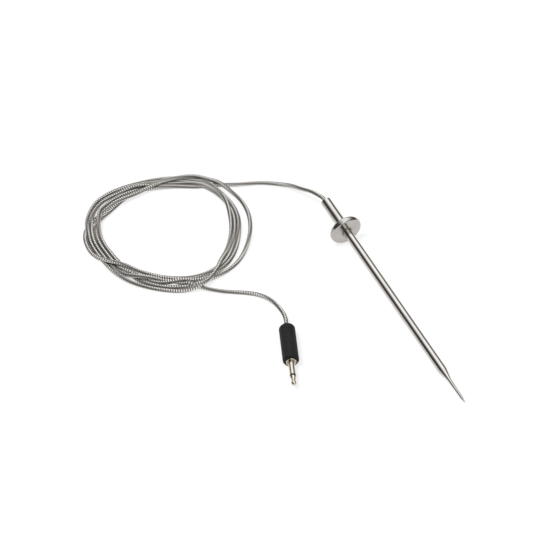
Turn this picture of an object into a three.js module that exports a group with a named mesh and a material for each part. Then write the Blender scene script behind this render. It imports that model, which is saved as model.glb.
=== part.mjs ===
// Meat thermometer probe with a braided steel cable and a 2.5 mm jack plug.
// Millimetres, +Z up. The probe lies on a table along X, its needle towards +X, resting on
// the rim of its stop disc and on the front of its sheath. The origin is under the middle of
// the probe.
import * as THREE from "three";

// ---------------------------------------------------------------- driving dimensions

// Probe, measured along its own axis from the cable end of the handle sleeve.
const PROBE_LENGTH = 117.7;
const NEEDLE_START = 104.9; // end of the swaged taper
const TAPER_START = 100.2;
const DISC_CENTRE = 17.6;
const HANDLE_RADIUS = 2.2;
const HANDLE_WALL = 0.35;
const HANDLE_MOUTH_WALL = 0.7; // the turned-in end that grips the cable
const SHEATH_RADIUS = 1.8;
const SHEATH_WALL = 0.25;
const SHEATH_START = 7.5;
const SHEATH_END = 115.4; // where the solid point is welded in
const NEEDLE_RADIUS = 0.8;
const NEEDLE_END_RADIUS = 0.55;
const NEEDLE_BORE_RADIUS = 0.45;
const POINT_TIP_RADIUS = 0.15;
const POINT_SPIGOT_LENGTH = 2;

// Stop disc.
const DISC_RADIUS = 6.8;
const DISC_THICKNESS = 2.5;
const DISC_EDGE = 1.15; // radius of its rounded rim
const DISC_BORE_RADIUS = 1.87;
const WELD_SIZE = 0.25;

// Cable.
const CORD_RADIUS = 0.85;
const CORD_GAP = 0.3; // between a cord solid and what it meets
const CORD_FLOOR = CORD_RADIUS + 0.02; // height of the centre of a cord that lies on the table
const CORD_BORE_RADIUS = 0.95;
const CORD_SIDES = 8;

// Loose coil: each turn's radius at stations thirty degrees apart, from 120 degrees on.
const COIL_CENTRE = [-76, -64];
const COIL_START_DEGREES = 120;
const COIL_STATIONS = 12;
const COIL_LAYERS = 3;
const COIL_TURN_RADII = [
  [36, 30, 30, 31, 28.5, 26, 26.5, 29, 30, 32.5, 33.5, 36],
  [36.5, 32.5, 28, 28.5, 33, 30.5, 24, 24, 26.5, 27.5, 27, 29.5],
  [33, 32.5, 29.5, 28.5, 30, 26.5, 26.5, 27.5, 29, 29.5, 29, 30.5],
  [32.5, 33.5, 33.5, 35.5, 32, 28, 29.5, 31, 32.5, 27.5, 26.5, 29.5],
  [32.5, 30.5, 30.5, 33.5, 30.5, 28, 28, 26, 33.5],
];

// Jack plug, measured along its own axis from the rear of the moulding.
const PLUG_REAR = [-5.75, -44.6];
const PLUG_HEADING_DEGREES = -21.5;
const BARREL_LENGTH = 18.6;
const BARREL_RADIUS = 3.25;
const BARREL_REAR_EDGE = 1.3;
const BARREL_FRONT_EDGE = 0.9;
const CORE_RADIUS = 2.5;
const CORE_WALL = 0.4;
const COLLAR_RADIUS = 2.05;
const COLLAR_REAR = 15.4; // where its spigot starts inside the moulding
const COLLAR_FRONT = 19.1;
const PIN_RADIUS = 1.25; // the plug's nominal 2.5 mm
const PIN_SLEEVE_REAR = 14.6;
const PIN_SLEEVE_END = 26.0;
const RING_END = 26.7;
const PIN_END = 31.2;
const INSULATOR_REAR = 13.4;
const ROD_REAR = 12.4;
const ROD_RADIUS = 0.45;

// Wires inside the probe and inside the plug.
const WIRE_RADIUS = 0.28;
const WIRE_OFFSET = 0.45;
const LEAD_RADIUS = 0.09;
const LEAD_OFFSET = 0.2;

const SEGMENTS = 24;
const FINE_SEGMENTS = 32;
const CLEARANCE = 0.05; // between concentric pieces

// ---------------------------------------------------------------- materials

const finishes = {
  polishedSteel: { color: 0xc9c6c0, roughness: 0.18, metalness: 1 },
  satinSteel: { color: 0xb9b6b0, roughness: 0.35, metalness: 1 },
  weldSteel: { color: 0x6b5f52, roughness: 0.5, metalness: 1 },
  braid: { color: 0x96938e, roughness: 0.45, metalness: 0.8 },
  nickel: { color: 0xd6cdc0, roughness: 0.2, metalness: 1 },
  brass: { color: 0xc0a060, roughness: 0.35, metalness: 1 },
  copper: { color: 0xb87348, roughness: 0.4, metalness: 1 },
  rubber: { color: 0x2b2b2d, roughness: 0.75, metalness: 0 },
  coreResin: { color: 0x55555a, roughness: 0.6, metalness: 0 },
  insulator: { color: 0x1c1c1c, roughness: 0.5, metalness: 0 },
  whiteSleeving: { color: 0xe6e3da, roughness: 0.7, metalness: 0 },
  redInsulation: { color: 0x9c2f28, roughness: 0.55, metalness: 0 },
  glass: { color: 0x6f7f7a, roughness: 0.1, metalness: 0 },
  filler: { color: 0xcfcfca, roughness: 0.9, metalness: 0 },
};

function piece(name, geometry, finish) {
  const mesh = new THREE.Mesh(geometry, new THREE.MeshStandardMaterial(finishes[finish]));
  mesh.name = name;
  return mesh;
}

// ---------------------------------------------------------------- shapes

// Solid of revolution about X. The profile is a list of [x, radius].
function turned(profile, segments = SEGMENTS) {
  const points = profile.map(([x, radius]) => new THREE.Vector2(radius, x));
  return new THREE.LatheGeometry(points, segments).rotateZ(-Math.PI / 2);
}

// Plain tube about X between two stations.
function tube(start, end, inner, outer, segments = SEGMENTS) {
  return turned(
    [[start, inner], [start, outer], [end, outer], [end, inner], [start, inner]],
    segments,
  );
}

// Plain rod about X between two stations.
function rod(start, end, radius, segments = SEGMENTS) {
  return turned([[start, 0], [start, radius], [end, radius], [end, 0]], segments);
}

// Points of a quarter or half round on a profile, by angle in degrees from +X towards +radius.
function arc(x, radius, size, from, to, steps = 5) {
  return Array.from({ length: steps + 1 }, (_, i) => {
    const angle = THREE.MathUtils.degToRad(from + ((to - from) * i) / steps);
    return [x + size * Math.cos(angle), radius + size * Math.sin(angle)];
  });
}

// Round cord along a smooth curve through hand-chosen points.
function cord(points, steps) {
  const section = new THREE.Shape(
    Array.from({ length: CORD_SIDES }, (_, i) => {
      const angle = (2 * Math.PI * i) / CORD_SIDES;
      return new THREE.Vector2(CORD_RADIUS * Math.cos(angle), CORD_RADIUS * Math.sin(angle));
    }),
  );
  const extrudePath = new THREE.CatmullRomCurve3(points.map((p) => new THREE.Vector3(...p)));
  return new THREE.ExtrudeGeometry(section, { steps, bevelEnabled: false, extrudePath });
}

// ---------------------------------------------------------------- probe

function makeHandleSleeve() {
  const end = DISC_CENTRE - DISC_THICKNESS / 2 - CORD_GAP / 2;
  const bore = HANDLE_RADIUS - HANDLE_WALL;
  const edge = 0.3;
  return piece("handle_sleeve", turned([
    [0, CORD_BORE_RADIUS],
    ...arc(edge, HANDLE_RADIUS - edge, edge, 180, 90, 3),
    [end, HANDLE_RADIUS],
    [end, bore],
    [HANDLE_MOUTH_WALL, bore],
    [HANDLE_MOUTH_WALL, CORD_BORE_RADIUS],
    [0, CORD_BORE_RADIUS],
  ], FINE_SEGMENTS), "polishedSteel");
}

function makeSheath() {
  const bore = SHEATH_RADIUS - SHEATH_WALL;
  return piece("probe_sheath", turned([
    [SHEATH_START, bore],
    [SHEATH_START, SHEATH_RADIUS],
    [TAPER_START, SHEATH_RADIUS],
    [NEEDLE_START, NEEDLE_RADIUS],
    [SHEATH_END, NEEDLE_END_RADIUS],
    [SHEATH_END, NEEDLE_BORE_RADIUS],
    [NEEDLE_START, NEEDLE_BORE_RADIUS],
    [TAPER_START, bore],
    [SHEATH_START, bore],
  ], FINE_SEGMENTS), "polishedSteel");
}

function makeNeedlePoint() {
  const spigot = NEEDLE_BORE_RADIUS - CLEARANCE;
  const shoulder = SHEATH_END + CLEARANCE;
  return piece("needle_point", turned([
    [SHEATH_END - POINT_SPIGOT_LENGTH, 0],
    [SHEATH_END - POINT_SPIGOT_LENGTH, spigot],
    [shoulder, spigot],
    [shoulder, NEEDLE_END_RADIUS],
    [PROBE_LENGTH - POINT_TIP_RADIUS, POINT_TIP_RADIUS],
    [PROBE_LENGTH, 0],
  ]), "polishedSteel");
}

function makeStopDisc() {
  const half = DISC_THICKNESS / 2;
  const rim = DISC_RADIUS - DISC_EDGE;
  return piece("stop_disc", turned([
    [DISC_CENTRE - half, DISC_BORE_RADIUS],
    ...arc(DISC_CENTRE - half + DISC_EDGE, rim, DISC_EDGE, 180, 90),
    ...arc(DISC_CENTRE + half - DISC_EDGE, rim, DISC_EDGE, 90, 0),
    [DISC_CENTRE + half, DISC_BORE_RADIUS],
    [DISC_CENTRE - half, DISC_BORE_RADIUS],
  ], 2 * FINE_SEGMENTS), "satinSteel");
}

// Narrow weld bead where the disc's tip-side face meets the sheath.
function makeDiscWeld() {
  const face = DISC_CENTRE + DISC_THICKNESS / 2 + CLEARANCE;
  const inner = SHEATH_RADIUS + CLEARANCE;
  return piece("disc_weld", turned([
    [face, inner],
    [face, inner + WELD_SIZE],
    [face + WELD_SIZE, inner],
    [face, inner],
  ], FINE_SEGMENTS), "weldSteel");
}

function makeSensor() {
  const bead = { start: 108.4, end: 111.2, radius: 0.38 };
  const cap = bead.radius;
  return [
    piece("sensor_bead", turned([
      ...arc(bead.start + cap, 0, cap, 180, 90, 4),
      ...arc(bead.end - cap, 0, cap, 90, 0, 4),
    ], 16), "glass"),
    piece("thermal_filler", rod(bead.end + 0.1, 113.2, NEEDLE_BORE_RADIUS - CLEARANCE, 16), "filler"),
  ];
}

// One of the two circuits: cable conductor, splice crimp, sensor lead and its sleeving.
function makeCircuit(letter, side) {
  const conductor = piece("conductor_" + letter, rod(1.2, 15.8, WIRE_RADIUS, 12), "redInsulation");
  const crimp = piece("splice_crimp_" + letter,
    tube(14.2, 18.2, WIRE_RADIUS + CLEARANCE, WIRE_RADIUS + 0.14, 12), "brass");
  const lead = piece("sensor_lead_" + letter, rod(16.4, 108.2, LEAD_RADIUS, 8), "copper");
  const sleeving = piece("lead_sleeving_" + letter,
    tube(18.6, 107.4, LEAD_RADIUS + 0.02, LEAD_OFFSET - 0.02, 12), "whiteSleeving");
  for (const mesh of [conductor, crimp]) mesh.position.y = side * WIRE_OFFSET;
  for (const mesh of [lead, sleeving]) mesh.position.y = side * LEAD_OFFSET;
  return [conductor, crimp, lead, sleeving];
}

function makeProbe() {
  const probe = new THREE.Group();
  probe.add(makeHandleSleeve(), makeSheath(), makeNeedlePoint(), makeStopDisc(), makeDiscWeld());
  probe.add(piece("braid_ferrule", tube(1.0, 6.8, CORD_BORE_RADIUS, 1.5), "brass"));
  probe.add(piece("splice_sleeve", tube(13.6, 20.4, 1.0, 1.3), "whiteSleeving"));
  probe.add(...makeCircuit("a", 1), ...makeCircuit("b", -1), ...makeSensor());
  const tilt = Math.atan((DISC_RADIUS - SHEATH_RADIUS) / (TAPER_START - DISC_CENTRE));
  probe.rotation.y = tilt;
  const box = new THREE.Box3().setFromObject(probe, true);
  probe.position.set(-(box.min.x + box.max.x) / 2, 0, -box.min.z);
  probe.updateMatrixWorld(true);
  return probe;
}

// ---------------------------------------------------------------- cable

// The coil's outer shape: the outermost and innermost turn at each station, plus half a cord.
function makeCoil() {
  const outline = (pick, allowance) => {
    const corners = Array.from({ length: COIL_STATIONS }, (_, station) => {
      const radii = COIL_TURN_RADII.map((turn) => turn[station]).filter((r) => r !== undefined);
      const angle = THREE.MathUtils.degToRad(
        COIL_START_DEGREES + (360 * station) / COIL_STATIONS);
      const radius = pick(...radii) + allowance;
      return new THREE.Vector3(
        COIL_CENTRE[0] + radius * Math.cos(angle),
        COIL_CENTRE[1] + radius * Math.sin(angle),
        0,
      );
    });
    const smooth = new THREE.CatmullRomCurve3(corners, true);
    return smooth.getPoints(5 * COIL_STATIONS).slice(0, -1).map((p) => new THREE.Vector2(p.x, p.y));
  };
  const ring = new THREE.Shape(outline(Math.max, CORD_RADIUS));
  ring.holes.push(new THREE.Path(outline(Math.min, -CORD_RADIUS)));
  const depth = COIL_LAYERS * 2 * CORD_RADIUS;
  return piece("cord_coil", new THREE.ExtrudeGeometry(ring, { depth, bevelEnabled: false }), "braid");
}

// From the handle sleeve, bending aside and down to the table, to the coil.
function makeLead(mouth) {
  const start = mouth.clone().add(new THREE.Vector3(-CORD_GAP, 0, 0));
  return piece("cord_lead", cord([
    [start.x, start.y, start.z],
    [-61.0, -0.1, 7.65],
    [-63.9, -0.8, 7.2],
    [-68.3, -2.1, 6.1],
    [-72.2, -3.6, 4.6],
    [-76.0, -5.2, 3.4],
    [-79.4, -7.0, 2.3],
    [-82.1, -9.3, 1.5],
    [-84.3, -11.6, 1.05],
    [-86.1, -14.2, CORD_FLOOR],
    [-88.6, -19.9, CORD_FLOOR],
    [-90.9, -26.0, CORD_FLOOR],
  ], 30), "braid");
}

// From the coil along the table, then up into the rear of the plug.
function makeTail(plugRear) {
  return piece("cord_tail", cord([
    [-38.0, -58.9, CORD_FLOOR],
    [-36.1, -56.2, CORD_FLOOR],
    [-33.4, -51.7, CORD_FLOOR],
    [-30.4, -47.3, CORD_FLOOR],
    [-27.5, -44.5, CORD_FLOOR],
    [-23.9, -42.7, 1.1],
    [-18.6, -42.0, 1.9],
    [-13.4, -42.2, 2.7],
    [-10.2, -42.9, 3.1],
    [-8.2, -43.65, 3.22],
    [plugRear.x, plugRear.y, plugRear.z],
  ], 24), "braid");
}

// ---------------------------------------------------------------- jack plug

function makeOvermould() {
  const cavity = CORE_RADIUS + CLEARANCE;
  const rearWall = 2.5;
  const frontWall = 17.0;
  return piece("plug_overmould", turned([
    [0, CORD_BORE_RADIUS],
    ...arc(BARREL_REAR_EDGE, BARREL_RADIUS - BARREL_REAR_EDGE, BARREL_REAR_EDGE, 180, 90),
    ...arc(BARREL_LENGTH - BARREL_FRONT_EDGE, BARREL_RADIUS - BARREL_FRONT_EDGE,
      BARREL_FRONT_EDGE, 90, 0, 4),
    [BARREL_LENGTH, COLLAR_RADIUS - 0.3],
    [frontWall, COLLAR_RADIUS - 0.3],
    [frontWall, cavity],
    [rearWall, cavity],
    [rearWall, CORD_BORE_RADIUS],
    [0, CORD_BORE_RADIUS],
  ], FINE_SEGMENTS), "rubber");
}

// Nickel collar: a flange that seats against the socket, and a spigot inside the moulding.
function makeCollar() {
  const bore = PIN_RADIUS + CLEARANCE;
  const spigot = COLLAR_RADIUS - 0.35;
  const flange = BARREL_LENGTH + CLEARANCE;
  return piece("plug_collar", turned([
    [COLLAR_REAR, bore],
    [COLLAR_REAR, spigot],
    [flange, spigot],
    [flange, COLLAR_RADIUS],
    [COLLAR_FRONT, COLLAR_RADIUS],
    [COLLAR_FRONT, bore],
    [COLLAR_REAR, bore],
  ], FINE_SEGMENTS), "nickel");
}

// Centre contact: a long rod that ends in the jack's waisted, ball-nosed tip.
function makeTipContact() {
  const ball = 1.1;
  return piece("plug_tip_contact", turned([
    [ROD_REAR, 0],
    [ROD_REAR, ROD_RADIUS],
    [RING_END + CLEARANCE, ROD_RADIUS],
    [RING_END + CLEARANCE, 1.2],
    [27.5, 1.2],
    [28.4, 0.9],
    [29.1, 0.9],
    ...arc(PIN_END - ball, 0, ball, 125, 0, 8),
  ]), "nickel");
}

// A flat solder lug inside the moulding.
function makeLug(name, start, length, offset) {
  const lug = piece(name, new THREE.BoxGeometry(length, 1.4, 0.3), "brass");
  lug.position.set(start + length / 2, 0, offset);
  return lug;
}

function makePlugWire(letter, end, offset) {
  const wire = piece("plug_wire_" + letter, rod(5.6, end, WIRE_RADIUS, 12), "redInsulation");
  wire.position.z = offset;
  return wire;
}

function makePlug() {
  const plug = new THREE.Group();
  const insulatorBore = ROD_RADIUS + CLEARANCE;
  const sleeveBore = 0.8;
  plug.add(
    makeOvermould(),
    piece("plug_core", tube(2.8, 15.1, CORE_RADIUS - CORE_WALL, CORE_RADIUS), "coreResin"),
    piece("plug_braid_clamp", tube(3.0, 5.4, CORD_BORE_RADIUS, 1.35), "brass"),
    makeCollar(),
    piece("plug_pin_sleeve", tube(PIN_SLEEVE_REAR, PIN_SLEEVE_END, sleeveBore, PIN_RADIUS, FINE_SEGMENTS), "nickel"),
    piece("plug_insulator_tube",
      tube(INSULATOR_REAR, PIN_SLEEVE_END, insulatorBore, sleeveBore - CLEARANCE), "whiteSleeving"),
    piece("plug_insulator_ring",
      tube(PIN_SLEEVE_END + CLEARANCE, RING_END, insulatorBore, PIN_RADIUS, FINE_SEGMENTS), "insulator"),
    makeTipContact(),
    makeLug("tip_terminal", 9.4, 2.9, 0),
    makeLug("sleeve_terminal", 8.6, 5.7, 1.5),
    makePlugWire("a", 9.3, 0),
    makePlugWire("b", 8.5, 1.2),
  );
  plug.position.set(PLUG_REAR[0], PLUG_REAR[1], BARREL_RADIUS);
  plug.rotation.z = THREE.MathUtils.degToRad(PLUG_HEADING_DEGREES);
  plug.updateMatrixWorld(true);
  return plug;
}

// ---------------------------------------------------------------- assembly

const probe = makeProbe();
const plug = makePlug();
const group = new THREE.Group();
group.add(
  probe,
  plug,
  makeCoil(),
  makeLead(probe.localToWorld(new THREE.Vector3(0, 0, 0))),
  makeTail(plug.localToWorld(new THREE.Vector3(-CORD_GAP, 0, 0))),
);

export default group;
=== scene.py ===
import math

import bmesh
import bpy
import numpy as np
from mathutils import Matrix, Vector


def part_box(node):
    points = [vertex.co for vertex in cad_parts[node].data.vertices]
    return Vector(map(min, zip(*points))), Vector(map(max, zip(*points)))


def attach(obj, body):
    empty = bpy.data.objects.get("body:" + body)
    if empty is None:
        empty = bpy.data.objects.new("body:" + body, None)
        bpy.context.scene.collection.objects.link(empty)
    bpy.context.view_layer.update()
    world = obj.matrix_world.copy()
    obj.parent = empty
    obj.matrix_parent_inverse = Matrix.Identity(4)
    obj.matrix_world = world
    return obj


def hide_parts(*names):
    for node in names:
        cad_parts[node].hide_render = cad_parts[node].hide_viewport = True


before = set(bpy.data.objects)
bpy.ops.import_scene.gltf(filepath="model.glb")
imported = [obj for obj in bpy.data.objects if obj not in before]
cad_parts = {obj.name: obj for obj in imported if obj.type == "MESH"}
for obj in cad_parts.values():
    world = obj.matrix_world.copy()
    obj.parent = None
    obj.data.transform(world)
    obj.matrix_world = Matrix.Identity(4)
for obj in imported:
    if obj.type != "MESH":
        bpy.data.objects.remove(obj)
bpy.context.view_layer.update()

MM = 0.001

# ---------------------------------------------------------------- dimensions, in millimetres

PROBE_LENGTH = 117.7
NEEDLE_START = 104.9
TAPER_START = 100.2
DISC_CENTRE = 17.6
HANDLE_RADIUS = 2.2
HANDLE_BORE = 1.85
SHEATH_RADIUS = 1.8
SHEATH_BORE = 1.55
SHEATH_START = 7.5
SHEATH_END = 115.4
NEEDLE_RADIUS = 0.8
NEEDLE_END_RADIUS = 0.55
NEEDLE_BORE = 0.45
POINT_TIP_RADIUS = 0.15
POINT_SPIGOT_LENGTH = 2.0
DISC_RADIUS = 6.8
DISC_THICKNESS = 2.5
DISC_EDGE = 1.15
DISC_BORE = 1.87
WELD_SIZE = 0.3

CORD_DIAMETER = 1.7
CORD_FLOOR = CORD_DIAMETER / 2 + 0.02

BARREL_LENGTH = 18.6
BARREL_RADIUS = 3.25
BARREL_REAR_EDGE = 1.3
BARREL_FRONT_EDGE = 0.9
PLUG_HEADING_DEGREES = -21.5
CORE_RADIUS = 2.5
COLLAR_RADIUS = 2.05
COLLAR_FRONT = 19.1
PIN_RADIUS = 1.25
PIN_BORE = 0.8
PIN_SLEEVE_END = 26.0
RING_END = 26.7
PIN_END = 31.2
ROD_RADIUS = 0.45

GAP = 0.05  # between concentric pieces


# ---------------------------------------------------------------- camera

CAMERA_TARGET = (-42.6 * MM, -35.2 * MM, 0)
CAMERA_AZIMUTH = 63.5
CAMERA_ELEVATION = 45
CAMERA_DISTANCE = 1.2
CAMERA_LENS = 200
CAMERA_SENSOR = 36


def make_camera():
    azimuth, elevation = math.radians(CAMERA_AZIMUTH), math.radians(CAMERA_ELEVATION)
    back = Vector((
        math.sin(azimuth) * math.cos(elevation),
        -math.cos(azimuth) * math.cos(elevation),
        math.sin(elevation),
    ))
    data = bpy.data.cameras.new("camera")
    data.lens = CAMERA_LENS
    data.sensor_width = CAMERA_SENSOR
    data.clip_start = 0.05
    data.clip_end = 20
    camera = bpy.data.objects.new("camera", data)
    camera.location = Vector(CAMERA_TARGET) + back * CAMERA_DISTANCE
    camera.rotation_euler = (-back).to_track_quat("-Z", "Y").to_euler()
    bpy.context.scene.collection.objects.link(camera)
    bpy.context.scene.camera = camera


# ---------------------------------------------------------------- places of the probe and the plug

def box_centre(node):
    low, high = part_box(node)
    return (low + high) / 2


def probe_matrix():
    """From the probe's own frame, X along it from the handle's mouth, to the part's frame."""
    tilt = math.atan((DISC_RADIUS - SHEATH_RADIUS) / (TAPER_START - DISC_CENTRE))
    turn = Matrix.Rotation(tilt, 4, "Y")
    mouth = box_centre("stop_disc") - turn @ Vector((DISC_CENTRE * MM, 0, 0))
    return Matrix.Translation(mouth) @ turn


def plug_matrix():
    """From the plug's own frame, X along it from the rear of the moulding, to the part's frame."""
    turn = Matrix.Rotation(math.radians(PLUG_HEADING_DEGREES), 4, "Z")
    rear = box_centre("plug_overmould") - turn @ Vector((BARREL_LENGTH / 2 * MM, 0, 0))
    return Matrix.Translation(rear) @ turn


PROBE = probe_matrix()
PLUG = plug_matrix()


# ---------------------------------------------------------------- cable route

# From the handle sleeve, bending aside and down to the table, to the coil.
LEAD_POINTS = [
    (-61.0, -0.1, 7.65),
    (-63.9, -0.8, 7.2),
    (-68.3, -2.1, 6.1),
    (-72.2, -3.6, 4.6),
    (-76.0, -5.2, 3.4),
    (-79.4, -7.0, 2.3),
    (-82.1, -9.3, 1.5),
    (-84.3, -11.6, 1.05),
    (-86.1, -14.2, CORD_FLOOR),
    (-88.6, -19.9, CORD_FLOOR),
    (-90.9, -26.0, CORD_FLOOR),
]

# From the coil along the table, then up into the rear of the plug.
TAIL_POINTS = [
    (-38.0, -58.9, CORD_FLOOR),
    (-36.1, -56.2, CORD_FLOOR),
    (-33.4, -51.7, CORD_FLOOR),
    (-30.4, -47.3, CORD_FLOOR),
    (-27.5, -44.5, CORD_FLOOR),
    (-23.9, -42.7, 1.1),
    (-18.6, -42.0, 1.9),
    (-13.4, -42.2, 2.7),
    (-10.2, -42.9, 3.1),
    (-8.2, -43.65, 3.22),
]

# Loose coil: each turn's radius, and the layer it lies in, thirty degrees apart from 120 on.
COIL_CENTRE = (-76, -64)
COIL_START_DEGREES = 120
COIL_STATIONS = 12
COIL_TURN_RADII = [
    [36, 30, 30, 31, 28.5, 26, 26.5, 29, 30, 32.5, 33.5, 36],
    [36.5, 32.5, 28, 28.5, 33, 30.5, 24, 24, 26.5, 27.5, 27, 29.5],
    [33, 32.5, 29.5, 28.5, 30, 26.5, 26.5, 27.5, 29, 29.5, 29, 30.5],
    [32.5, 33.5, 33.5, 35.5, 32, 28, 29.5, 31, 32.5, 27.5, 26.5, 29.5],
    [32.5, 30.5, 30.5, 33.5, 30.5, 28, 28, 26, 33.5],
]
COIL_TURN_LAYERS = [
    [0, 0, 0, 0.5, 0.5, 0, 0, 0, 0, 0, 0, 0],
    [1, 2, 2, 1, 0, 1, 1, 0, 0, 0, 0, 0],
    [0, 0, 0, 0, 0, 0, 0, 0.5, 0.5, 0, 0, 0.5],
    [1, 1, 0.5, 0, 0.5, 0, 0, 0, 2, 1.5, 1, 1],
    [1, 1, 0.5, 0, 1, 1, 1, 0.5, 0],
]


def natural_spline(points, spacing):
    """Points evenly spaced along the smooth curve through the given ones."""
    points = np.array(points, float)
    knots = np.concatenate([[0], np.cumsum(np.linalg.norm(np.diff(points, axis=0), axis=1))])
    gaps = np.diff(knots)
    size = len(points)
    system = np.eye(size)
    slopes = np.diff(points, axis=0) / gaps[:, None]
    right = np.zeros_like(points)
    for i in range(1, size - 1):
        system[i, i - 1:i + 2] = gaps[i - 1], 2 * (gaps[i - 1] + gaps[i]), gaps[i]
        right[i] = 6 * (slopes[i] - slopes[i - 1])
    bends = np.linalg.solve(system, right)

    def at(places):
        k = np.clip(np.searchsorted(knots, places, side="right") - 1, 0, size - 2)
        a = ((knots[k + 1] - places) / gaps[k])[:, None]
        b = 1 - a
        bend = (a**3 - a) * bends[k] + (b**3 - b) * bends[k + 1]
        return a * points[k] + b * points[k + 1] + bend * (gaps[k, None] ** 2) / 6

    fine = at(np.linspace(0, knots[-1], 40 * size))
    walked = np.concatenate([[0], np.cumsum(np.linalg.norm(np.diff(fine, axis=0), axis=1))])
    count = int(round(walked[-1] / spacing)) + 1
    wanted = np.linspace(0, walked[-1], count)
    return np.stack([np.interp(wanted, walked, fine[:, axis]) for axis in range(3)], axis=1)


def coil_points():
    points = []
    for turn, (radii, layers) in enumerate(zip(COIL_TURN_RADII, COIL_TURN_LAYERS)):
        for station, (radius, layer) in enumerate(zip(radii, layers)):
            angle = math.radians(COIL_START_DEGREES + 360 * (turn + station / COIL_STATIONS))
            points.append((
                COIL_CENTRE[0] + radius * math.cos(angle),
                COIL_CENTRE[1] + radius * math.sin(angle),
                CORD_FLOOR + layer * CORD_DIAMETER,
            ))
    return points


def smoothed(values, rounds):
    """Each value averaged with its neighbours, the ends kept."""
    for _ in range(rounds):
        values[1:-1] = (values[:-2] + 2 * values[1:-1] + values[2:]) / 4
    return values


def settled(points, free, spacing):
    """The cord after it has sunk on the table and on itself: no strand passes through another."""
    home = points.copy()
    plan = home[:, :2]
    first, second = np.triu_indices(len(points), k=int(2.5 * CORD_DIAMETER / spacing))
    near = np.linalg.norm(plan[first] - plan[second], axis=1) < 2 * CORD_DIAMETER
    first, second = first[near], second[near]
    for _ in range(300):
        points[:, 2] -= 0.03 * free
        for _ in range(3):
            apart = points[first] - points[second]
            distance = np.maximum(np.linalg.norm(apart, axis=1), 1e-6)
            push = np.maximum(CORD_DIAMETER - distance, 0) / distance * 0.5
            shift = np.zeros_like(points)
            touches = np.zeros(len(points))
            np.add.at(shift, first, apart * push[:, None])
            np.add.at(shift, second, -apart * push[:, None])
            np.add.at(touches, first, push > 0)
            np.add.at(touches, second, push > 0)
            points += shift / np.maximum(touches, 1)[:, None] * free[:, None]
            points[:, 2] = np.maximum(points[:, 2], CORD_FLOOR)
        offset = smoothed(points[:, :2] - home[:, :2], 4) * 0.98
        points[:, :2] = home[:, :2] + offset * free[:, None]
        height = smoothed(points[:, 2].copy(), 3)
        points[:, 2] += (height - points[:, 2]) * free
    return points


def cord_route():
    """The cable's centreline in millimetres, from inside the handle to inside the plug."""
    inside_handle = PROBE @ Vector((1.2 * MM, 0, 0)) / MM
    mouth = PROBE @ Vector((0, 0, 0)) / MM
    rear = PLUG @ Vector((0, 0, 0)) / MM
    inside_plug = PLUG @ Vector((2.2 * MM, 0, 0)) / MM
    points = [tuple(inside_handle), tuple(mouth), *LEAD_POINTS, *coil_points(), *TAIL_POINTS,
              tuple(rear), tuple(inside_plug)]
    spacing = 1.0
    route = natural_spline(points, spacing)
    walked = np.arange(len(route)) * spacing
    held = 40  # millimetres at each end that keep their heights
    ends = np.minimum(walked, walked[-1] - walked)
    free = np.clip((ends - held) / 10, 0, 1)
    return settled(route, free, spacing)


# ---------------------------------------------------------------- meshes

def mesh_object(name, vertices, faces, face_uvs, material, matrix=None):
    """A smooth-shaded mesh whose vertices are in millimetres in its own frame."""
    mesh = bpy.data.meshes.new(name)
    mesh.from_pydata((np.asarray(vertices, float) * MM).tolist(), [], faces)
    layer = mesh.uv_layers.new(name="UVMap")
    layer.data.foreach_set("uv", np.asarray(face_uvs, np.float32).reshape(-1))
    mesh.polygons.foreach_set("use_smooth", [True] * len(mesh.polygons))
    mesh.materials.append(material)
    mesh.validate()
    piece = bpy.data.objects.new(name, mesh)
    if matrix is not None:
        piece.matrix_world = matrix
    bpy.context.scene.collection.objects.link(piece)
    return piece


def tube_grid(rings, sides, first_ring=0, closed=False):
    """Quads between neighbouring rings of vertices, and each corner's (side, ring) place."""
    faces, places = [], []
    for i in range(rings if closed else rings - 1):
        low, high = i, (i + 1) % rings
        for j in range(sides):
            k = (j + 1) % sides
            faces.append((low * sides + j, low * sides + k, high * sides + k, high * sides + j))
            places.append(((j, i), (j + 1, i), (j + 1, i + 1), (j, i + 1)))
    return faces, places


ARC_STEPS = 8
SUPPORT = 0.06  # millimetres between a rounding and the extra ring that keeps its flat side flat


def rounded(corners):
    """The outline (x, radius) through corners (x, radius, rounding), with arcs at roundings."""
    outline = []
    count = len(corners)
    for i, corner in enumerate(corners):
        here = Vector(corner[:2])
        rounding = corner[2] if len(corner) > 2 else 0
        if not rounding:
            outline.append(here)
            continue
        before = (Vector(corners[i - 1][:2]) - here).normalized()
        after = (Vector(corners[(i + 1) % count][:2]) - here).normalized()
        half = before.angle(after) / 2
        reach = rounding / math.tan(half)
        middle = here + (before + after).normalized() * (rounding / math.sin(half))
        start = here + before * reach
        end = here + after * reach
        outline.append(start + before * SUPPORT)
        for step in range(ARC_STEPS + 1):
            part = step / ARC_STEPS
            spoke = (start - middle).slerp(end - middle, part)
            outline.append(middle + spoke.normalized() * rounding)
        outline.append(end + after * SUPPORT)
    return outline


def turned(name, outline, material, matrix, segments=96, closed=True, sharp=40):
    """A solid of revolution about X. A closed outline goes round a ring's section."""
    outline = [Vector(point) for point in outline]
    rings = len(outline)
    vertices = []
    for x, radius in outline:
        for j in range(segments):
            angle = 2 * math.pi * j / segments
            vertices.append((x, radius * math.cos(angle), radius * math.sin(angle)))
    faces, places = tube_grid(rings, segments, closed=closed)
    walked = [0]
    for i in range(rings):
        walked.append(walked[-1] + (outline[(i + 1) % rings] - outline[i]).length)
    uvs = [(j / segments, walked[i] * 0.01) for face in places for j, i in face]
    if not closed:
        faces.append(tuple(range(segments))[::-1])
        faces.append(tuple(range((rings - 1) * segments, rings * segments)))
        uvs += [(0.5, 0.5)] * (2 * segments)
    piece = mesh_object(name, vertices, faces, uvs, material, matrix)
    face_outwards(piece)
    piece.data.set_sharp_from_angle(angle=math.radians(sharp))
    return piece


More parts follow.
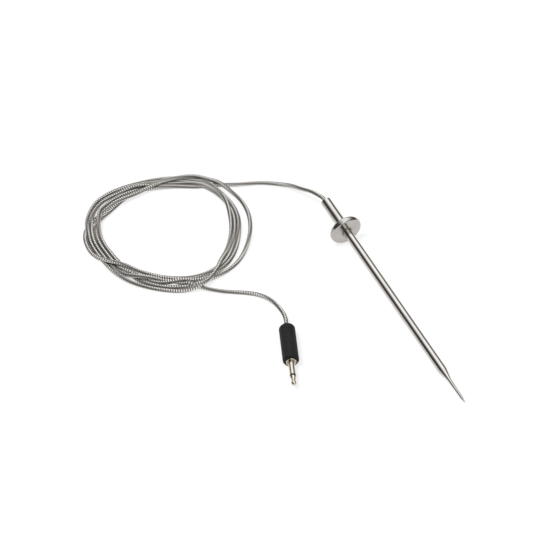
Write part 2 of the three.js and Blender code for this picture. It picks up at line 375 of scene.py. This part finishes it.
def face_outwards(piece):
    """Turn every face out, and join the corners that fall on one point."""
    work = bmesh.new()
    work.from_mesh(piece.data)
    bmesh.ops.remove_doubles(work, verts=work.verts, dist=1e-7)
    bmesh.ops.recalc_face_normals(work, faces=work.faces)
    work.to_mesh(piece.data)
    work.free()


def handed_over(piece, slot, *nodes):
    """The piece stands for those CAD nodes and moves with the body; slot is not used."""
    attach(piece, "root")
    if nodes:
        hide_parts(*nodes)
    return piece


# ---------------------------------------------------------------- cable

BRAID_SIDES = 24
BRAID_CARRIERS = 3  # bundles of wire each way
BRAID_LAY = 3.0  # millimetres along the cable for a bundle to go once round
BRAID_TWIST = 95  # millimetres of cable for its own twist to go once round
BRAID_RINGS = 18  # rings of vertices in one lay
BRAID_RELIEF = 0.22
BRAID_CROWN = 0.12  # how far the bundles stand above the cable's mean radius


def braid_pillow(around, along):
    """Height of the braid, from 0 in its gaps to 1 on a bundle; around and along in turns."""
    one_way = BRAID_CARRIERS * (around + along)
    other_way = BRAID_CARRIERS * (around - along)
    over = (np.floor(one_way) + np.floor(other_way)) % 2
    height = np.sin(math.pi * (one_way % 1)) * np.sin(math.pi * (other_way % 1))
    return np.sqrt(height) * (0.65 + 0.35 * over)


def cord_rings(route):
    """The cable's ring centres, with two unit vectors across the cable at each."""
    steps = np.linalg.norm(np.diff(route, axis=0), axis=1)
    walked = np.concatenate([[0], np.cumsum(steps)])
    count = int(walked[-1] / (BRAID_LAY / BRAID_RINGS)) + 1
    line = natural_spline(route, walked[-1] / (count - 1) / 1.0000001)
    ahead = np.gradient(line, axis=0)
    ahead /= np.linalg.norm(ahead, axis=1)[:, None]
    side = np.zeros_like(line)
    side[0] = np.cross(ahead[0], (0, 0, 1))
    for i in range(1, len(line)):
        side[i] = side[i - 1] - ahead[i] * np.dot(side[i - 1], ahead[i])
        side[i] /= np.linalg.norm(side[i])
    side[0] /= np.linalg.norm(side[0])
    return line, side, np.cross(ahead, side)


def make_cord(material):
    line, side, up = cord_rings(cord_route())
    count = len(line)
    around = np.arange(BRAID_SIDES) / BRAID_SIDES
    along = np.arange(count) / BRAID_RINGS
    pillow = braid_pillow(around[None, :], along[:, None])
    radius = CORD_DIAMETER / 2 + BRAID_CROWN - BRAID_RELIEF * (1 - pillow)
    twist = along * BRAID_LAY / BRAID_TWIST
    angle = 2 * math.pi * (around[None, :] + twist[:, None])
    spokes = (
        side[:, None, :] * np.cos(angle)[:, :, None]
        + up[:, None, :] * np.sin(angle)[:, :, None]
    )
    vertices = (line[:, None, :] + spokes * radius[:, :, None]).reshape(-1, 3)
    faces, places = tube_grid(count, BRAID_SIDES)
    uvs = [(j / BRAID_SIDES, i / BRAID_RINGS) for face in places for j, i in face]
    faces.append(tuple(range(BRAID_SIDES))[::-1])
    faces.append(tuple(range((count - 1) * BRAID_SIDES, count * BRAID_SIDES)))
    uvs += [(0.5, 0.5)] * (2 * BRAID_SIDES)
    cord = mesh_object("braided_cable", vertices, faces, uvs, material)
    face_outwards(cord)
    return cord, line * MM


# ---------------------------------------------------------------- materials

class Nodes:
    """A short way to build the nodes of one tree; each call returns the new node's output."""

    def __init__(self, tree):
        self.tree = tree

    def put(self, value, socket):
        if isinstance(value, bpy.types.NodeSocket):
            self.tree.links.new(value, socket)
        elif socket.type == "RGBA":
            socket.default_value = (*value, 1)
        else:
            socket.default_value = value

    def math(self, operation, *values, clamp=False):
        node = self.tree.nodes.new("ShaderNodeMath")
        node.operation = operation
        node.use_clamp = clamp
        for value, socket in zip(values, node.inputs):
            self.put(value, socket)
        return node.outputs[0]

    def coordinates(self, scale=(1, 1, 1), kind="Object"):
        place = self.tree.nodes.new("ShaderNodeTexCoord")
        mapping = self.tree.nodes.new("ShaderNodeMapping")
        mapping.inputs["Scale"].default_value = scale
        self.tree.links.new(place.outputs[kind], mapping.inputs["Vector"])
        return mapping.outputs[0]

    def split(self, vector):
        node = self.tree.nodes.new("ShaderNodeSeparateXYZ")
        self.put(vector, node.inputs[0])
        return node.outputs

    def noise(self, vector, scale, detail=3, roughness=0.55):
        node = self.tree.nodes.new("ShaderNodeTexNoise")
        node.inputs["Scale"].default_value = scale
        node.inputs["Detail"].default_value = detail
        node.inputs["Roughness"].default_value = roughness
        self.put(vector, node.inputs["Vector"])
        return node.outputs["Fac"]

    def ramp(self, value, stops):
        """Colours or grey values at places from 0 to 1."""
        node = self.tree.nodes.new("ShaderNodeValToRGB")
        elements = node.color_ramp.elements
        while len(elements) < len(stops):
            elements.new(0.5)
        for element, (place, colour) in zip(elements, stops):
            element.position = place
            grey = not hasattr(colour, "__len__")
            element.color = (colour, colour, colour, 1) if grey else (*colour, 1)
        self.put(value, node.inputs[0])
        return node.outputs[0]

    def mix(self, factor, first, second):
        node = self.tree.nodes.new("ShaderNodeMix")
        node.data_type = "RGBA"
        sockets = [socket for socket in node.inputs if socket.type == "RGBA"]
        self.put(factor, node.inputs[0])
        self.put(first, sockets[0])
        self.put(second, sockets[1])
        return [socket for socket in node.outputs if socket.type == "RGBA"][0]

    def between(self, value, low, high):
        """The value, 0 to 1, spread over low to high."""
        return self.math("MULTIPLY_ADD", value, high - low, low)


class MaterialNodes(Nodes):
    """The nodes of one new material."""

    def __init__(self, name):
        self.material = bpy.data.materials.new(name)
        self.material.use_nodes = True
        super().__init__(self.material.node_tree)
        self.shader = self.tree.nodes["Principled BSDF"]

    def set(self, **values):
        for name, value in values.items():
            self.put(value, self.shader.inputs[name.replace("_", " ")])

    def bump(self, height, strength, distance):
        node = self.tree.nodes.new("ShaderNodeBump")
        node.inputs["Strength"].default_value = strength
        node.inputs["Distance"].default_value = distance
        self.put(height, node.inputs["Height"])
        self.put(node.outputs[0], self.shader.inputs["Normal"])


STEEL = (0.58, 0.56, 0.53)
STEEL_DARK = (0.50, 0.48, 0.455)
DISC_STEEL_DARK = (0.42, 0.40, 0.375)
HEAT_TINT = (0.24, 0.20, 0.155)
NICKEL = (0.66, 0.60, 0.52)
NICKEL_DARK = (0.56, 0.50, 0.42)


def drawn_metal(name, bright, dark, roughness, streak=1.0):
    """Polished metal with fine lines along X, as a drawn tube has, and faint handling marks."""
    n = MaterialNodes(name)
    lines = n.noise(n.coordinates((40, 9000, 9000)), 1, detail=4)
    marks = n.noise(n.coordinates(), 160, detail=3)
    n.set(
        Base_Color=n.mix(n.ramp(marks, [(0.35, 0.0), (0.7, 1.0)]), bright, dark),
        Metallic=1.0,
        Roughness=n.math(
            "ADD",
            n.between(lines, roughness * 0.75, roughness * 1.15),
            n.between(marks, -0.02, 0.03),
        ),
    )
    n.bump(lines, 0.06 * streak, 0.00002)
    return n.material


def polished_steel():
    return drawn_metal("polished_steel_look", STEEL, STEEL_DARK, 0.11)


def disc_steel():
    """Steel turned on a lathe: fine rings about the disc's middle, tinted brown near the weld."""
    n = MaterialNodes("disc_steel_look")
    x, y, z = n.split(n.coordinates())
    squares = n.math("ADD", n.math("MULTIPLY", y, y), n.math("MULTIPLY", z, z))
    radius = n.math("SQRT", squares)
    combined = n.tree.nodes.new("ShaderNodeCombineXYZ")
    n.put(radius, combined.inputs[0])
    rings = n.noise(combined.outputs[0], 9000, detail=3)
    patches = n.noise(n.coordinates(), 350, detail=3)
    edge = n.math("MULTIPLY_ADD", patches, 0.0006, radius)
    tint = n.ramp(
        n.math("MULTIPLY", edge, 200),
        [(0.42, 1.0), (0.50, 0.45), (0.62, 0.0)],
    )
    steel = n.mix(n.ramp(patches, [(0.3, 0.0), (0.75, 1.0)]), STEEL_DARK, DISC_STEEL_DARK)
    n.set(
        Base_Color=n.mix(tint, steel, HEAT_TINT),
        Metallic=1.0,
        Roughness=n.math("ADD", n.between(rings, 0.11, 0.19), n.between(patches, -0.02, 0.03)),
    )
    n.bump(rings, 0.08, 0.00002)
    return n.material


def weld_steel():
    """Heat-tinted bead, straw to brown with blue-grey spots."""
    n = MaterialNodes("weld_steel_look")
    patches = n.noise(n.coordinates(), 1500, detail=4)
    grain = n.noise(n.coordinates(), 6000, detail=3)
    n.set(
        Base_Color=n.ramp(patches, [
            (0.30, (0.10, 0.085, 0.08)),
            (0.48, (0.20, 0.16, 0.12)),
            (0.70, (0.34, 0.30, 0.25)),
        ]),
        Metallic=1.0,
        Roughness=n.between(grain, 0.28, 0.5),
    )
    n.bump(grain, 0.5, 0.00005)
    return n.material


def steel_braid():
    """Bundles of fine steel wire, over and under, from the same places as the mesh's relief; painted
    highlight on the bundles on top, painted shade on those under, in the gaps and between the wires.
    """
    n = MaterialNodes("steel_braid_look")
    around, along, _ = n.split(n.coordinates(kind="UV"))
    ways = []
    for operation in ("ADD", "SUBTRACT"):
        ways.append(n.math("MULTIPLY", n.math(operation, around, along), BRAID_CARRIERS))
    fractions = [n.math("FRACT", way) for way in ways]
    floors = [n.math("FLOOR", way) for way in ways]
    under = n.math("FRACT", n.math("MULTIPLY", n.math("ADD", *floors), 0.5))
    is_over = n.math("GREATER_THAN", under, 0.25)
    across = n.math(
        "ADD",
        n.math("MULTIPLY", fractions[0], is_over),
        n.math("MULTIPLY", fractions[1], n.math("SUBTRACT", 1, is_over)),
    )
    wires = n.math("ABSOLUTE", n.math("SINE", n.math("MULTIPLY", across, 4 * math.pi)))
    waves = [n.math("SINE", n.math("MULTIPLY", part, math.pi)) for part in fractions]
    pillow = n.math("MULTIPLY", *waves)
    dirt = n.noise(n.coordinates(), 500, detail=3)
    # Painted highlight and painted shade: bundles on top get a bright colour for their glints,
    # bundles underneath a dark one; the noise adds real dirt tone to the bright colour.
    lit_bundle_and_dirt = n.mix(dirt, (1.0, 0.975, 0.94), (0.94, 0.91, 0.87))
    bundle = n.mix(is_over, (0.24, 0.228, 0.208), lit_bundle_and_dirt)
    # Painted shade: the grooves between the wires of a bundle are painted part way to dark grey.
    strand = n.mix(n.between(n.math("POWER", wires, 0.5), 0.5, 1), (0.30, 0.29, 0.275), bundle)
    # Painted shade: the gaps between bundles are painted near black.
    gap_shade = n.ramp(pillow, [(0.04, 0.0), (0.34, 1.0)])
    n.set(
        Base_Color=n.mix(gap_shade, (0.02, 0.019, 0.018), strand),
        Metallic=0.85,
        Roughness=n.between(wires, 0.34, 0.2),
    )
    n.bump(n.math("MULTIPLY_ADD", wires, 0.15, pillow), 0.5, 0.00008)
    return n.material


def nickel():
    return drawn_metal("nickel_look", NICKEL, NICKEL_DARK, 0.12, streak=0.7)


def brass():
    return drawn_metal("brass_look", (0.70, 0.50, 0.22), (0.55, 0.38, 0.16), 0.25)


def copper():
    return drawn_metal("copper_look", (0.80, 0.42, 0.28), (0.60, 0.30, 0.19), 0.28)


def moulded(name, light, dark, roughness, grain_scale=4000, grain=0.25, specular=0.4):
    """Plastic, rubber or resin with the fine matt grain of its mould."""
    n = MaterialNodes(name)
    texture = n.noise(n.coordinates(), grain_scale, detail=3)
    clouds = n.noise(n.coordinates(), 260, detail=4)
    n.set(
        Base_Color=n.mix(n.ramp(clouds, [(0.3, 0.0), (0.7, 1.0)]), dark, light),
        Roughness=n.math(
            "ADD",
            n.between(texture, roughness - 0.06, roughness + 0.06),
            n.between(clouds, -0.04, 0.04),
        ),
        Specular_IOR_Level=specular,
    )
    n.bump(texture, grain, 0.00004)
    return n.material


def black_rubber():
    """Moulded grip with fine grain and a few pale specks of dust."""
    n = MaterialNodes("black_rubber_look")
    grain = n.noise(n.coordinates(), 3500, detail=3)
    clouds = n.noise(n.coordinates(), 240, detail=4)
    specks = n.ramp(n.noise(n.coordinates(), 1900, detail=2), [(0.70, 0.0), (0.80, 0.35)])
    rubber = n.mix(n.ramp(clouds, [(0.3, 0.0), (0.7, 1.0)]), (0.010, 0.010, 0.0105),
                   (0.015, 0.015, 0.016))
    n.set(
        Base_Color=n.mix(specks, rubber, (0.09, 0.09, 0.09)),
        Roughness=n.math("ADD", n.between(grain, 0.58, 0.72), n.between(clouds, -0.05, 0.05)),
        Specular_IOR_Level=0.2,
    )
    n.bump(grain, 0.3, 0.00005)
    return n.material


def bead_glass():
    n = MaterialNodes("bead_glass_look")
    clouds = n.noise(n.coordinates(), 900, detail=2)
    n.set(
        Base_Color=n.mix(clouds, (0.75, 0.62, 0.40), (0.55, 0.42, 0.25)),
        Roughness=n.between(clouds, 0.04, 0.10),
        Transmission_Weight=0.6,
        IOR=1.52,
    )
    return n.material


def make_materials():
    """Each of the record's material slots, with its look."""
    return {
        "polished_steel": polished_steel(),
        "disc_steel": disc_steel(),
        "weld_steel": weld_steel(),
        "steel_braid": steel_braid(),
        "nickel": nickel(),
        "brass": brass(),
        "copper": copper(),
        "black_rubber": black_rubber(),
        "core_resin": moulded("core_resin_look", (0.05, 0.05, 0.055), (0.03, 0.03, 0.035), 0.5),
        "dark_insulator": moulded("dark_insulator_look", (0.016, 0.015, 0.015),
                                  (0.010, 0.010, 0.010), 0.38),
        "white_sleeving": moulded("white_sleeving_look", (0.78, 0.76, 0.70),
                                  (0.66, 0.63, 0.57), 0.6, grain_scale=7000),
        "red_insulation": moulded("red_insulation_look", (0.50, 0.04, 0.03),
                                  (0.36, 0.025, 0.02), 0.45),
        "glass": bead_glass(),
        "filler": moulded("filler_look", (0.62, 0.60, 0.55), (0.50, 0.48, 0.43), 0.8,
                          grain_scale=6000, grain=0.5),
    }


def dress_cad_nodes(looks):
    """Give every CAD node that stays the look of its own material slot."""
    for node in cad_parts.values():
        for place in node.material_slots:
            place.material = looks[place.material.name.split(".")[0]]


# ---------------------------------------------------------------- plug

PLUG_BORE = 1.0
COLLAR_RECESS = 1.62
COLLAR_RECESS_DEPTH = 0.35


def make_plug(looks):
    """The plug's moulding, collar, pin, dark ring and ball-nosed tip, from the rear forward."""
    moulding = turned("plug_grip", rounded([
        (0, PLUG_BORE, 0.12),
        (0, BARREL_RADIUS, BARREL_REAR_EDGE),
        (BARREL_LENGTH, BARREL_RADIUS, BARREL_FRONT_EDGE),
        (BARREL_LENGTH, COLLAR_RADIUS + 0.03, 0.08),
        (BARREL_LENGTH - 1, COLLAR_RADIUS + 0.03),
        (BARREL_LENGTH - 1, CORE_RADIUS + GAP),
        (1.6, CORE_RADIUS + GAP),
        (1.6, PLUG_BORE),
    ]), looks["black_rubber"], PLUG, segments=128)
    handed_over(moulding, "black_rubber", "plug_overmould")

    collar = turned("plug_shoulder", rounded([
        (BARREL_LENGTH - 0.9, PIN_RADIUS + 0.02),
        (BARREL_LENGTH - 0.9, COLLAR_RADIUS),
        (COLLAR_FRONT, COLLAR_RADIUS, 0.15),
        (COLLAR_FRONT, COLLAR_RECESS, 0.08),
        (COLLAR_FRONT - COLLAR_RECESS_DEPTH, PIN_RADIUS + 0.02),
    ]), looks["nickel"], PLUG)
    handed_over(collar, "nickel", "plug_collar")

    pin = turned("plug_pin_barrel", rounded([
        (BARREL_LENGTH - 1.2, PIN_BORE),
        (BARREL_LENGTH - 1.2, PIN_RADIUS),
        (PIN_SLEEVE_END, PIN_RADIUS, 0.12),
        (PIN_SLEEVE_END, PIN_BORE, 0.05),
    ]), looks["nickel"], PLUG)
    handed_over(pin, "nickel", "plug_pin_sleeve")

    ring = turned("plug_dark_ring", rounded([
        (PIN_SLEEVE_END + 0.01, ROD_RADIUS + 0.02),
        (PIN_SLEEVE_END + 0.01, PIN_RADIUS, 0.1),
        (RING_END, PIN_RADIUS, 0.1),
        (RING_END, ROD_RADIUS + 0.02),
    ]), looks["dark_insulator"], PLUG)
    handed_over(ring, "dark_insulator", "plug_insulator_ring")

    tip = turned("plug_tip", tip_outline(), looks["nickel"], PLUG, closed=False, sharp=50)
    handed_over(tip, "nickel", "plug_tip_contact")
    return [moulding, collar, pin, ring, tip]


def tip_outline():
    """Centre rod, cone, waist and ball of the tip contact."""
    outline = [(BARREL_LENGTH - 8, 0.02), (BARREL_LENGTH - 8, ROD_RADIUS)]
    outline += [(RING_END + 0.01, ROD_RADIUS), (RING_END + 0.01, 1.08), (RING_END + 0.08, 1.15)]
    waist, ball_radius = 0.9, 1.1
    neck_start, neck_end = 27.55, 29.1
    for step in range(13):
        part = step / 12
        ease = part * part * (3 - 2 * part)
        outline.append((
            RING_END + 0.2 + (neck_start + 0.9 - RING_END - 0.2) * part,
            1.17 + (waist - 1.17) * ease,
        ))
    outline.append((neck_end, waist))
    ball_centre = PIN_END - ball_radius
    start = math.asin(waist / ball_radius)
    first = math.pi - start
    for step in range(25):
        angle = first * (1 - step / 24)
        outline.append((
            ball_centre + ball_radius * math.cos(angle),
            max(ball_radius * math.sin(angle), 0.01),
        ))
    return outline


# ---------------------------------------------------------------- probe

MOUTH_RADIUS = 1.0
MOUTH_LENGTH = 1.2


def make_handle(looks):
    """Steel sleeve with its end rolled in round the cable."""
    sleeve = turned("handle_tube", rounded([
        (0, MOUTH_RADIUS, 0.25),
        (0, HANDLE_RADIUS, 0.45),
        (DISC_CENTRE - DISC_THICKNESS / 2 - 0.01, HANDLE_RADIUS),
        (DISC_CENTRE - DISC_THICKNESS / 2 - 0.01, HANDLE_BORE),
        (MOUTH_LENGTH, HANDLE_BORE),
        (MOUTH_LENGTH - 0.5, MOUTH_RADIUS),
    ]), looks["polished_steel"], PROBE)
    handed_over(sleeve, "polished_steel", "handle_sleeve")


def make_sheath(looks):
    """Steel tube, drawn down through a soft taper to a fine needle."""
    outline = [(SHEATH_START, SHEATH_RADIUS)]
    outline += [(place, SHEATH_RADIUS) for place in (30, 50, 70, 90)]
    steps = 24
    taper_start, taper_end = TAPER_START - 0.4, NEEDLE_START + 0.4
    for step in range(steps + 1):
        part = step / steps
        ease = part * part * (3 - 2 * part)
        blend = 0.8 * part + 0.2 * ease
        outline.append((
            taper_start + (taper_end - taper_start) * part,
            SHEATH_RADIUS + (NEEDLE_RADIUS - SHEATH_RADIUS) * blend,
        ))
    outline += [(SHEATH_END, NEEDLE_END_RADIUS), (SHEATH_END, NEEDLE_BORE)]
    outline += [(NEEDLE_START, NEEDLE_BORE), (TAPER_START, SHEATH_BORE), (SHEATH_START, SHEATH_BORE)]
    sheath = turned("sheath_tube", outline, looks["polished_steel"], PROBE)
    handed_over(sheath, "polished_steel", "probe_sheath")


def make_point(looks):
    outline = [(SHEATH_END - POINT_SPIGOT_LENGTH, 0.01)]
    outline += [(SHEATH_END - POINT_SPIGOT_LENGTH, NEEDLE_BORE - GAP)]
    outline += [(SHEATH_END + 0.01, NEEDLE_BORE - GAP), (SHEATH_END + 0.01, NEEDLE_END_RADIUS)]
    outline += [(SHEATH_END + 0.15, NEEDLE_END_RADIUS - 0.01)]
    ball = POINT_TIP_RADIUS
    for step in range(9):
        angle = math.radians(80) * (1 - step / 8)
        outline.append((
            PROBE_LENGTH - ball + ball * math.cos(angle),
            max(ball * math.sin(angle), 0.005),
        ))
    point = turned("needle_tip", outline, looks["polished_steel"], PROBE, closed=False)
    handed_over(point, "polished_steel", "needle_point")


def make_disc(looks):
    half = DISC_THICKNESS / 2
    disc = turned("stop_flange", rounded([
        (-half, DISC_BORE),
        (-half, DISC_RADIUS, DISC_EDGE),
        (half, DISC_RADIUS, DISC_EDGE),
        (half, DISC_BORE),
    ]), looks["disc_steel"], PROBE @ Matrix.Translation((DISC_CENTRE * MM, 0, 0)), segments=192)
    handed_over(disc, "disc_steel", "stop_disc")


WELD_SEGMENTS = 128


def make_weld(looks):
    """Bead round the sheath on the disc's needle side, a little uneven as a hand weld is."""
    face = DISC_CENTRE + DISC_THICKNESS / 2
    sides = 12
    vertices = []
    for j in range(WELD_SEGMENTS):
        turn = 2 * math.pi * j / WELD_SEGMENTS
        size = WELD_SIZE * (1 + 0.16 * math.sin(3 * turn + 1) + 0.1 * math.sin(11 * turn)
                            + 0.06 * math.sin(23 * turn + 2))
        for i in range(sides):
            angle = 2 * math.pi * i / sides
            radius = SHEATH_RADIUS - 0.02 + max(size * math.sin(angle), 0)
            x = face - 0.02 + max(size * math.cos(angle), 0)
            vertices.append((x, radius * math.cos(turn), radius * math.sin(turn)))
    faces, places = tube_grid(WELD_SEGMENTS, sides, closed=True)
    uvs = [(i / WELD_SEGMENTS, j / sides) for face_places in places for j, i in face_places]
    weld = mesh_object("weld_bead", vertices, faces, uvs, looks["weld_steel"], PROBE)
    face_outwards(weld)
    handed_over(weld, "weld_steel", "disc_weld")


# ---------------------------------------------------------------- floor and light

FLOOR_SIZE = 6
FLOOR_COLOUR = (0.3, 0.3, 0.3)
FLOOR_GLOW = 0.72  # a white light table: its own light thins the shadows
SKY_STRENGTH = 0.7
SUN_STRENGTH = 1.6
SUN_ANGLE = 20
SUN_FROM = (0, -0.55, 1.2)
# Brightness of the studio that metal reflects, by the angle from +Y over the top to -Y.
STUDIO = [
    (0, 0.06),
    (24, 0.08),
    (40, 0.45),
    (56, 1.35),
    (75, 1.8),
    (95, 1.5),
    (112, 0.7),
    (128, 0.10),
    (160, 0.06),
    (180, 0.15),
]


def make_floor():
    half = FLOOR_SIZE / 2
    corners = [(-half, -half, 0), (half, -half, 0), (half, half, 0), (-half, half, 0)]
    mesh = bpy.data.meshes.new("floor")
    mesh.from_pydata(corners, [], [(0, 1, 2, 3)])
    n = MaterialNodes("floor_look")
    n.set(
        Base_Color=FLOOR_COLOUR,
        Roughness=1.0,
        Specular_IOR_Level=0.0,
        Emission_Color=(1, 1, 1),
        Emission_Strength=FLOOR_GLOW,
    )
    mesh.materials.append(n.material)
    floor = bpy.data.objects.new("floor", mesh)
    bpy.context.scene.collection.objects.link(floor)


def make_world():
    """Even white light for the floor, and for the metal a studio with soft bright and dark bands."""
    world = bpy.data.worlds.new("studio")
    world.use_nodes = True
    bpy.context.scene.world = world
    n = Nodes(world.node_tree)
    background = n.tree.nodes["Background"]
    place = n.tree.nodes.new("ShaderNodeTexCoord")
    x, y, z = n.split(place.outputs["Generated"])
    turn = n.math("DIVIDE", n.math("ARCTAN2", z, y), math.pi)
    bands = n.ramp(turn, [(angle / 180, value / 2) for angle, value in STUDIO])
    path = n.tree.nodes.new("ShaderNodeLightPath")
    even = (SKY_STRENGTH / 2,) * 3
    n.put(n.mix(path.outputs["Is Glossy Ray"], even, bands), background.inputs["Color"])
    background.inputs["Strength"].default_value = 2


def make_lights():
    data = bpy.data.lights.new("key", "SUN")
    data.energy = SUN_STRENGTH
    data.angle = math.radians(SUN_ANGLE)
    key = bpy.data.objects.new("key", data)
    key.rotation_euler = Vector(SUN_FROM).to_track_quat("Z", "Y").to_euler()
    key.visible_glossy = False
    bpy.context.scene.collection.objects.link(key)


# ---------------------------------------------------------------- the whole


def main():
    make_camera()
    looks = make_materials()
    cord, line = make_cord(looks["steel_braid"])
    handed_over(cord, "steel_braid", "cord_lead", "cord_coil", "cord_tail")
    plug = make_plug(looks)
    make_handle(looks)
    make_sheath(looks)
    make_point(looks)
    make_disc(looks)
    make_weld(looks)
    dress_cad_nodes(looks)
    make_floor()
    make_world()
    make_lights()
    bpy.context.scene.view_settings.view_transform = "Standard"


main()
